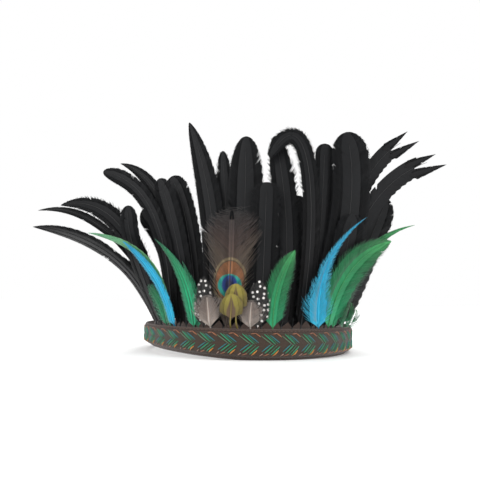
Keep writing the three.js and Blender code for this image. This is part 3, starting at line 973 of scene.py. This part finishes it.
@dataclass
class FeatherMaker:
    """Builds and dresses feathers: a closed web, loose barbs beyond it, and a shaft."""

    fan: Fan
    columns: int = 10
    row_length: float = 1.1
    web_thickness: float = 0.3
    cup: float = 0.5
    barb_stations: int = 4
    shaft_root: float = 0.55
    shaft_tip: float = 0.14
    fork_at: float = 0.84
    prong_from: float = 0.8
    prong_width: float = 1.15
    tuft_width: float = 11.0
    tuft_foot: float = 0.93
    shaft_share: float = 0.93
    shaft_points: int = 28
    materials: dict[str, bpy.types.Material] = field(default_factory=dict)

    def vanes(self, feather: Feather) -> list[Vane]:
        """Gives a feather's vane, and one for each prong of a forked tip."""
        root = (FOOT_WIDTH * math.sin(math.radians(feather.angle)), 0.0)
        controls = [root, feather.bend, *([feather.crest] if feather.crest else []), feather.tip]
        main = Vane(self.fan, controls, feather.width, feather.shape.value, feather.layer, feather.bare)
        found = [main]
        for k, tip in enumerate(feather.fork):
            end = main.start + (1 - main.start) * self.prong_from
            heading = main.direction(np.array([end]))[0]
            side = np.array([heading[1], -heading[0]])
            foot = main.curve(np.array([end]))[0] + side * (k - 0.5) * main.half
            middle = (foot + np.array(tip)) / 2 + heading * 0.5
            found.append(Vane(self.fan, [tuple(foot), tuple(middle), tip], main.half * self.prong_width,
                              Tip.PRONG.value, feather.layer, start=0.0))
        return found

    def web(self, name: str, vane: Vane, coat: Barbing, rng: np.random.Generator, seed: float,
            forked: bool) -> Piece:
        """Builds the closed web of a vane.

        Args:
            name: The part's name.
            vane: The vane to build.
            coat: How its barbs hold together.
            rng: The feather's own source of chance.
            seed: A number of the feather's own, for its finish.
            forked: Whether the web stops where its prongs start.

        Returns:
            The web, a thin closed sheet.
        """
        rows = max(int(vane.length / self.row_length), 8)
        part, across, along = grid(name, self.columns, rows)
        share = along * (self.fork_at if forked else coat.web_end)
        edge = np.ones(len(share)) * coat.web
        for side in (-1, 1):
            for centre in rng.uniform(0.3, 0.97, coat.splits):
                near = np.abs(share - centre) < rng.uniform(0.6, 1.3) * self.row_length / vane.length
                edge[near & (across * side > 0)] *= rng.uniform(0.55, 0.85)
        wander = 0.04 * np.sin(share * vane.length * 0.9 + seed * 5) * (across > 0)
        reached, distance = vane.barb_place(share, across * (edge + wander), coat.slant)
        bow = -self.cup * across**2 * vane.width_at(reached) / 6
        ripple = 0.03 * np.sin(share * vane.length * 0.5 + across * 1.5 + seed * 9)
        move_vertices(part, vane.lay(reached, distance, bow + ripple))
        mark(part, "barb", np.stack([across * edge, share, np.full_like(share, 0.5)], -1))
        mark(part, "place", np.stack([distance, vane.along(reached), np.full_like(share, seed)], -1))
        apply_modifier(part, "SOLIDIFY", thickness=self.web_thickness * MM, offset=0.0)
        smooth(part, 40)
        return part

    def barbs(self, name: str, vane: Vane, coat: Barbing, rng: np.random.Generator,
              seed: float) -> Piece:
        """Builds the loose barbs of a vane, which fray its edge.

        Args:
            name: The part's name.
            vane: The vane that they grow on.
            coat: How they lie.
            rng: The feather's own source of chance.
            seed: A number of the feather's own, for its finish.

        Returns:
            The barbs, joined.
        """
        count = max(int(2 * vane.length / coat.pitch), 12)
        stations = self.barb_stations
        share = np.linspace(0.0, 0.985, count) + rng.uniform(-0.5, 0.5, count) / count
        side = np.where(np.arange(count) % 2, 1.0, -1.0)
        ends = rng.uniform(*coat.reach, count)
        run = np.linspace(0, 1, stations)[None, :]
        across = side[:, None] * blend(coat.starts, ends[:, None], run)
        start = np.repeat(np.clip(share, 0, 1)[:, None], stations, 1)
        reached, distance = vane.barb_place(start, across, coat.slant)
        drift = rng.normal(0, coat.stray, (count, 1)) * run**2
        lift = self.web_thickness / 2 + rng.uniform(-0.2, 1.0, (count, 1)) * coat.lift * run
        lift = lift - self.cup * across**2 * vane.width_at(reached) / 6
        paths = vane.lay(np.clip(reached + drift / vane.length, 0, 1.02), distance, lift)
        ahead = vane.lay(np.clip(reached + 0.01, 0, 1.03), distance, lift)
        sideways = ahead - paths + 1e-9
        width = coat.half_width * MM * np.repeat(1 - 0.75 * run**2, count, 0)
        chance = np.repeat(rng.uniform(-1, 1, (count, 1)), stations, 1)
        strands = Strands(3)
        strands.add(paths, sideways, width, width * 0.35, {
            "barb": np.stack([across, start, chance], -1),
            "place": np.stack([distance, vane.along(reached), np.full_like(start, seed)], -1),
        })
        return strands.piece(name)

    def shaft(self, name: str, vane: Vane, seed: float) -> Piece:
        """Builds the shaft, from the quill's foot in the pocket nearly to the vane's tip."""
        root_x = vane.controls[0, 0]
        heights = np.linspace(vane.quill_foot, 0, 4)[:-1]
        low = self.fan.place(np.full(3, root_x), heights, self.fan.layer_outward(vane.layer, heights))
        t = np.linspace(0, vane.start + (1 - vane.start) * self.shaft_share, self.shaft_points)
        points = vane.curve(t)
        lift = 0.3 * smoothstep(points[:, 1] / 8)
        outward = self.fan.layer_outward(vane.layer, points[:, 1]) + lift
        high = self.fan.place(points[:, 0], points[:, 1], outward)
        paths = np.concatenate([low, high])[None]
        share = np.concatenate([np.zeros(3), np.clip((t - vane.start) / (1 - vane.start), 0, 1)])[None]
        radius = blend(self.shaft_root, self.shaft_tip, share**0.7) * MM
        sideways = np.repeat(np.array([[[1.0, 0.0, 0.0]]]), paths.shape[1], 1)
        strands = Strands(6)
        strands.add(paths, sideways, radius, radius, {
            "barb": np.stack([share * 0, share, share * 0], -1),
            "place": np.stack([share * 0, share, share * 0 + seed], -1),
        })
        return strands.piece(name)

    def build(self, feather: Feather, seed: int) -> Piece:
        """Builds one feather and dresses it.

        Args:
            feather: The feather.
            seed: Its number, which seeds its chance.

        Returns:
            The finished piece.
        """
        rng = np.random.default_rng(seed)
        tone = seed * 1.37
        coat = feather.coat.value
        webs = []
        found = self.vanes(feather)
        for k, vane in enumerate(found):
            webs.append(self.web("web", vane, coat, rng, tone, bool(feather.fork) and k == 0))
            if not (feather.fork and k == 0):
                webs.append(self.barbs("barbs", vane, coat, rng, tone))
        for tip in feather.tufts:
            foot = (tip[0] * self.tuft_foot, 0.0)
            middle = ((foot[0] + tip[0]) / 2, tip[1] * 0.4)
            tuft = Vane(self.fan, [foot, middle, tip], self.tuft_width, Tip.DOWN.value, feather.layer)
            webs.append(self.barbs("tuft", tuft, Coat.FLUFF.value, rng, tone))
        shaft = self.shaft("shaft", found[0], tone)
        dye = feather.dye
        for key, parts, maker in (("", webs, dye.material), ("_shaft", [shaft], dye.shaft_material)):
            name = dye.name + key
            if name not in self.materials:
                self.materials[name] = maker()
            for part in parts:
                part.data.materials.append(self.materials[name])
        piece = join("dressed_" + feather.name, [*webs, shaft])
        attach(piece, BODY)
        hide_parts(feather.name)
        return piece


# ---------------------------------------------------------------- the headband


@dataclass(frozen=True)
class Stroke:
    """One raised stitch of the braid's leaf pattern, from start to end, in millimetres."""

    start: tuple[float, float]
    end: tuple[float, float]
    colour: str
    half_width: float = 0.42


LEAF = (
    Stroke((0.0, 7.6), (8.4, 0.6), "#1e9468", 0.5),
    Stroke((2.0, 7.4), (10.2, 0.9), "#2e6a4a"),
    Stroke((-2.2, 6.4), (6.2, 0.2), "#5b7a5c"),
    Stroke((4.4, 6.9), (11.6, 1.6), "#1f7f86"),
    Stroke((0.4, -5.6), (7.2, 0.2), "#1e9468", 0.5),
    Stroke((2.6, -6.4), (9.6, -0.2), "#2e6a4a"),
    Stroke((4.8, -7.0), (11.6, -0.9), "#1f9a70", 0.45),
    Stroke((-1.6, -4.6), (4.6, 0.4), "#1f7f86"),
    Stroke((6.4, -7.6), (10.6, -3.6), "#d08838", 0.55),
    Stroke((-0.6, -7.6), (3.6, -6.2), "#a86a4a"),
    Stroke((6.0, 7.7), (9.2, 8.2), "#a86a4a"),
    Stroke((9.2, 8.2), (13.0, 5.6), "#b06f48"),
    Stroke((12.2, -7.8), (14.6, -6.0), "#b08a78"),
)


@dataclass
class Headband:
    """The inner and outer tapes, their stitching, and the braid round the outer one."""

    fan: Fan
    height: float = 21.5
    wall: float = 1.3
    pocket: float = 5.0
    closed: float = 0.35
    front_angle: float = 78.0
    back_angle: float = 135.0
    closed_share: float = 0.22
    trim_wall: float = 0.9
    trim_gap: float = 0.4
    trim_margin: float = 2.3
    lift_height: float = 5.0
    lift_angle: float = -60.0
    lift_reach: float = 90.0
    segments: int = 240
    leaves: int = 39
    stitch_pitch: float = 3.2

    def rim_lift(self, angle: Array) -> Array:
        """Gives how far the lower rim rises at angles round the head."""
        turn = math.radians(self.lift_angle)
        away = np.abs(np.arctan2(np.sin(angle - turn), np.cos(angle - turn)))
        reach = math.radians(self.lift_reach)
        return np.where(away < reach, self.lift_height * (1 + np.cos(np.pi * away / reach)) / 2, 0)

    def pocket_width(self, angle: Array, share: Array) -> Array:
        """Gives the gap between the tapes at an angle and a level."""
        turn = np.abs(np.arctan2(np.sin(angle), np.cos(angle)))
        front, back = math.radians(self.front_angle), math.radians(self.back_angle)
        opened = 1 - smoothstep((turn - front) / (back - front))
        return blend(self.closed, self.pocket, opened * np.clip(share / self.closed_share, 0, 1))

    def point(self, angle: Array, share: Array, offset: Array) -> Array:
        """Gives points round the head, in metres.

        Args:
            angle: Angles from the front, in radians.
            share: Levels from the lower rim (0) to the top edge (1).
            offset: Distances out of the head's outline.

        Returns:
            The points.
        """
        x = HALF_WIDTH * np.sin(angle)
        y = -HALF_DEPTH * np.cos(angle)
        normal = unit(np.stack([x / HALF_WIDTH**2, y / HALF_DEPTH**2], -1))
        z = blend(self.rim_lift(angle), self.height, share)
        return np.stack([
            (x + offset * normal[..., 0]) * MM + self.fan.middle.x,
            (y + offset * normal[..., 1]) * MM + self.fan.middle.y,
            z * MM + np.zeros_like(x),
        ], -1)

    def face_offset(self, angle: Array, share: Array) -> Array:
        """Gives where the outer tape's inner face lies."""
        return self.wall + self.pocket_width(angle, share)

    def hem(self, share: Array) -> Array:
        """Gives the rounded fold that stands proud along a tape's two edges."""
        edge = self.trim_margin / self.height
        near = np.minimum(share, 1 - share) / edge
        return 0.45 * np.sqrt(np.clip(1 - (near - 0.5) ** 2 / 0.3, 0, 1))

    def arc(self, angle: Array) -> Array:
        """Gives the distance round the outer tape from the front, in millimetres."""
        steps = np.linspace(-np.pi, np.pi, 721)
        offset = self.face_offset(steps, np.ones_like(steps)) + self.wall
        points = self.point(steps, np.ones_like(steps), offset)[:, :2] / MM
        travelled = np.concatenate([[0], np.cumsum(np.linalg.norm(np.diff(points, axis=0), axis=1))])
        return np.interp(angle, steps, travelled - travelled[360])

    def angle_at(self, arc: Array) -> Array:
        """Gives the angle at distances round the outer tape."""
        steps = np.linspace(-np.pi, np.pi, 721)
        return np.interp(arc, self.arc(steps), steps)

    def tape(self, name: str, low: float, high: float, wall: float, offset: object,
             rows: int) -> Piece:
        """Builds a tape that goes round the head and meets itself at the back.

        Args:
            name: The piece's name.
            low: The level of its lower edge.
            high: The level of its upper edge.
            wall: Its thickness.
            offset: Gives where its inner face lies at an angle and a level.
            rows: Faces from edge to edge.

        Returns:
            The tape, a closed wall.
        """
        piece, across, along = grid(name, self.segments, rows)
        angle = across * np.pi
        share = blend(low, high, along)
        move_vertices(piece, self.point(angle, share, offset(angle, share)))
        mark(piece, "place", np.stack([self.arc(angle), share * self.height, share * 0], -1))
        apply_modifier(piece, "SOLIDIFY", thickness=wall * MM, offset=1.0)
        apply_modifier(piece, "BEVEL", width=0.3 * wall * MM, segments=2, limit_method="ANGLE",
                       angle_limit=math.radians(60))
        smooth(piece, 50)
        return piece

    def stitches(self, name: str, level: float, offset: float) -> Piece:
        """Builds a row of stitches round the outer tape at one level."""
        total = self.arc(np.array([np.pi]))[0] * 2
        count = int(total / self.stitch_pitch)
        starts = (np.arange(count) / count - 0.5) * total
        run = np.linspace(0, 1, 5)[None, :]
        angle = self.angle_at(starts[:, None] + STITCH_LENGTH * run)
        share = np.full_like(angle, level)
        bow = STITCH_RISE * np.sin(np.pi * run)
        face = self.face_offset(angle, share) + self.wall + self.hem(share) + offset + bow - 0.12
        paths = self.point(angle, share, face)
        radius = np.repeat(STITCH_RADIUS * MM * (0.35 + 0.65 * np.sin(np.pi * run) ** 0.5), count, 0)
        up = np.zeros_like(paths)
        up[..., 2] = 1
        strands = Strands(5)
        place = np.stack([run * STITCH_LENGTH + starts[:, None], angle * 0, angle * 0], -1)
        strands.add(paths, up, radius, radius, {"place": place})
        return strands.piece(name)

    def leaf_strokes(self) -> list[Piece]:
        """Builds the braid's raised leaf stitches, one part for each colour."""
        total = self.arc(np.array([np.pi]))[0] * 2
        pitch = total / self.leaves
        starts = (np.arange(self.leaves) / self.leaves - 0.5) * total
        run = np.linspace(0, 1, 6)[None, :]
        parts = []
        for colour in dict.fromkeys(stroke.colour for stroke in LEAF):
            strands = Strands(6)
            for stroke in (s for s in LEAF if s.colour == colour):
                length = pitch / LEAF_LENGTH
                arc = starts[:, None] + blend(stroke.start[0], stroke.end[0], run) * length + pitch * 0.1
                arc = (arc + total / 2) % total - total / 2
                up = blend(stroke.start[1], stroke.end[1], run) + self.height / 2 + 0 * arc
                angle = self.angle_at(arc)
                share = up / self.height
                swell = np.sin(np.pi * (0.08 + 0.84 * run)) ** 0.6
                face = self.face_offset(angle, share) + self.wall + self.trim_gap + self.trim_wall
                paths = self.point(angle, share, face + 0.25 * swell)
                ahead = self.point(angle, share + 0.01, face) - self.point(angle, share, face)
                width = np.repeat(stroke.half_width * MM * swell, self.leaves, 0)
                place = np.stack([arc * 0 + run * 8, arc * 0, arc * 0], -1)
                strands.add(paths, ahead, width, width * 0.7, {"place": place})
            part = strands.piece("strokes")
            part.data.materials.append(Thread("braid_thread_" + colour[1:], colour).material())
            parts.append(part)
        return parts

    def build(self) -> list[Piece]:
        """Builds both tapes and the braid, and dresses them."""
        cloth, ground, thread = TAPE.material(), BRAID_GROUND.material(), STITCH.material()
        inner = self.tape("dressed_backing_band", 0, 1, self.wall, lambda a, s: 0 * a, 12)
        inner.data.materials.append(cloth)

        def hemmed(angle: Array, share: Array) -> Array:
            """Gives where the face tape lies, with its thicker hems."""
            return self.face_offset(angle, share) + self.hem(share) * 0.8

        def raised(angle: Array, share: Array) -> Array:
            """Gives where the braid lies on the face tape."""
            return self.face_offset(angle, share) + (self.wall + self.trim_gap)

        outer = self.tape("outer", 0, 1, self.wall, hemmed, 40)
        outer.data.materials.append(cloth)
        rows = [self.stitches("stitches", level, 0.0) for level in (0.055, 0.945)]
        for row in rows:
            row.data.materials.append(thread)
        outer = join("dressed_face_band", [outer, *rows])
        margin = self.trim_margin / self.height
        trim = self.tape("trim", margin, 1 - margin, self.trim_wall, raised, 16)
        trim.data.materials.append(ground)
        trim = join("dressed_woven_trim", [trim, *self.leaf_strokes()])
        dressed = [
            (inner, "backing_band", Slot.TAPE),
            (outer, "face_band", Slot.TAPE),
            (trim, "woven_trim", Slot.BRAID),
        ]
        for piece, node, slot in dressed:
            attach(piece, BODY)
            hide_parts(node)
        return [piece for piece, _, _ in dressed]


# ---------------------------------------------------------------- the studio


# Each lamp's name, place, power in watts and size, in metres.
LAMPS = (
    ("key", (-0.9, -1.3, 1.3), 14, 1.0),
    ("fill", (1.2, -1.0, 0.7), 7, 1.0),
    ("rim", (0.4, 1.2, 1.2), 8, 0.9),
)


@dataclass
class Studio:
    """The floor, the light and the camera."""

    middle: Vector
    azimuth: float = 7.5
    distance: float = 0.56
    eye_height: float = 0.0455
    turn_left: float = 0.944
    tilt_up: float = 4.775
    roll: float = 1.0
    lens: float = 48.93
    floor_radius: float = 3.0
    aim_height: float = 0.08

    def floor(self) -> Piece:
        """Lays the pale floor, a wide disc."""
        deselect()
        bpy.ops.mesh.primitive_circle_add(vertices=96, radius=self.floor_radius, fill_type="NGON")
        floor = bpy.context.object
        floor.name = "floor"
        shader = Shader("pale_floor")
        floor.data.materials.append(shader.finish(linear("#ffffff"), 0.0, 0.0, 0.95, 0.0, 0.0))
        return floor

    def light(self, name: str, place: tuple[float, float, float], power: float, size: float) -> None:
        """Hangs a large soft lamp that looks at the headdress."""
        data = bpy.data.lights.new(name, "AREA")
        data.energy = power
        data.size = size
        lamp = bpy.data.objects.new(name, data)
        lamp.location = place
        look = self.middle + Vector((0, 0, self.aim_height)) - lamp.location
        lamp.rotation_euler = look.to_track_quat("-Z", "Y").to_euler()
        bpy.context.scene.collection.objects.link(lamp)

    def lights(self) -> None:
        """Hangs the lamps and brightens the surroundings."""
        world = bpy.data.worlds.new("studio_air")
        world.use_nodes = True
        world.node_tree.nodes["Background"].inputs["Color"].default_value = (1, 1, 1, 1)
        world.node_tree.nodes["Background"].inputs["Strength"].default_value = 1.0
        bpy.context.scene.world = world
        for lamp in LAMPS:
            self.light(*lamp)
        bpy.context.scene.view_settings.view_transform = "Standard"

    def camera(self) -> None:
        """Sets the camera in front of the headdress, a little to its right."""
        turn = math.radians(self.azimuth)
        data = bpy.data.cameras.new("camera")
        data.lens = self.lens
        data.sensor_width = 36
        data.clip_start = 0.01
        camera = bpy.data.objects.new("camera", data)
        camera.location = (
            self.middle.x + self.distance * math.sin(turn),
            self.middle.y - self.distance * math.cos(turn),
            self.eye_height,
        )
        level = Euler((math.radians(90 + self.tilt_up), 0, turn + math.radians(self.turn_left)))
        rolled = Euler((0, 0, math.radians(self.roll)))
        camera.rotation_euler = (level.to_matrix() @ rolled.to_matrix()).to_euler()
        bpy.context.scene.collection.objects.link(camera)
        bpy.context.scene.camera = camera

    def build(self) -> None:
        """Sets up floor, light and camera."""
        self.floor()
        self.lights()
        self.camera()


def main() -> None:
    """Builds the headband, the feathers and the studio, and reports each piece."""
    logging.basicConfig(level=logging.INFO, format="%(message)s")
    deselect()
    low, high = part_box("backing_band")
    middle = (low + high) / 2
    fan = Fan(middle, high.z)
    pieces = Headband(fan).build()
    maker = FeatherMaker(fan)
    for seed, feather in enumerate((*PLUMES, *ACCENTS), start=1):
        pieces.append(maker.build(feather, seed))
    for piece in pieces:
        log.info("%s: %d faces", piece.name, len(piece.data.polygons))
    Studio(middle).build()
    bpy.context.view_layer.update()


if __name__ == "__main__":
    main()
